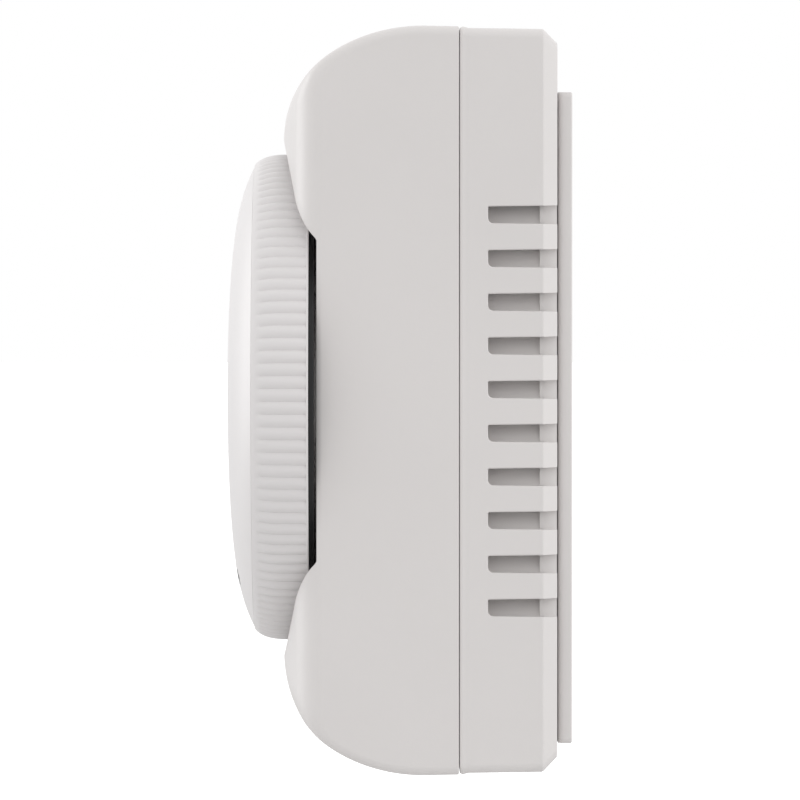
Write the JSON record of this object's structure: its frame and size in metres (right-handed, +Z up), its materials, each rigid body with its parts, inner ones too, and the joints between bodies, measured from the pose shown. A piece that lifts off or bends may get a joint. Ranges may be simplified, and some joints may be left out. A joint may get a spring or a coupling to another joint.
{
  "type": "programmable heating timer",
  "caption": "Wall-mounted programmable heating timer: upright vented case with a ribbed rotary ring round a domed press cap, on a slim wall plate.",
  "frame": {"origin": "middle of the wall plate's flat back face, which lies on the wall", "axes": "+Y into the wall, so the dial faces -Y; +Z up; +X to the right of someone facing the dial"},
  "size_m": [0.0694, 0.0487, 0.1048],
  "materials": {
    "white_shell": "fine moulded grain, warm light grey-white",
    "white_cap": "smooth satin off-white",
    "black_plastic": "moulded black",
    "circuit_board": "green solder mask",
    "display_glass": "polished dark panel",
    "clear_plastic": "milky light-spreading plastic",
    "steel": "plated steel",
    "brass": "tinned brass",
    "cell_wrap": "printed metal can, plain",
    "blue_plastic": "moulded blue housing"
  },
  "bodies": {
    "wall_side": {"wall_plate": "white_shell", "terminal_block": "black_plastic", "terminal_screw_1": "brass", "terminal_screw_2": "brass", "terminal_screw_3": "brass", "terminal_screw_4": "brass", "terminal_screw_5": "brass"},
    "unit": {"rear_case": "white_shell", "front_cover": "white_shell", "case_screw_1": "steel", "case_screw_2": "steel", "case_screw_3": "steel", "case_screw_4": "steel", "main_board": "circuit_board", "contact_pins": "brass", "relay": "black_plastic", "supply_module": "blue_plastic", "capacitor": "blue_plastic", "buzzer": "black_plastic", "thermistor": "black_plastic", "board_header": "black_plastic", "battery_1": "cell_wrap", "battery_2": "cell_wrap", "contact_bridge": "steel", "contact_positive": "steel", "contact_negative": "steel", "encoder_body": "steel", "display_tray": "black_plastic", "tray_screw_1": "steel", "tray_screw_2": "steel", "tray_screw_3": "steel", "tray_screw_4": "steel", "display_board": "circuit_board", "light_guide": "clear_plastic", "display_panel": "display_glass", "switch_right": "black_plastic", "switch_left": "black_plastic"},
    "ring": {"dial_ring": "white_cap", "ring_carrier": "black_plastic"},
    "pinion": {"encoder_pinion": "clear_plastic", "encoder_shaft": "steel"},
    "cap": {"display_cap": "white_cap"},
    "button_right": {"plunger_right": "clear_plastic"},
    "button_left": {"plunger_left": "clear_plastic"}
  },
  "joints": [
    {"name": "unit_pull", "type": "slide", "parent": "wall_side", "child": "unit", "axis": [0, -1, 0], "range_m": [0, 0.03]},
    {"name": "ring_turn", "type": "hinge", "parent": "unit", "child": "ring", "pos_m": [0, -0.039, 0.00245], "axis": [0, -1, 0], "continuous": true},
    {"name": "pinion_turn", "type": "hinge", "parent": "unit", "child": "pinion", "pos_m": [0, -0.039, -0.02155], "axis": [0, -1, 0], "continuous": true},
    {"name": "cap_press", "type": "slide", "parent": "unit", "child": "cap", "axis": [0, 1, 0], "range_m": [0, 0.0004], "stiffness_N_per_m": 8000},
    {"name": "button_right_press", "type": "slide", "parent": "unit", "child": "button_right", "axis": [0, 1, 0], "range_m": [0, 0.0004]},
    {"name": "button_left_press", "type": "slide", "parent": "unit", "child": "button_left", "axis": [0, 1, 0], "range_m": [0, 0.0004]}
  ],
  "couplings": [
    {"joint": "pinion_turn", "follows": "ring_turn", "ratio": 6},
    {"joint": "button_right_press", "follows": "cap_press", "ratio": 1},
    {"joint": "button_left_press", "follows": "cap_press", "ratio": 1}
  ]
}
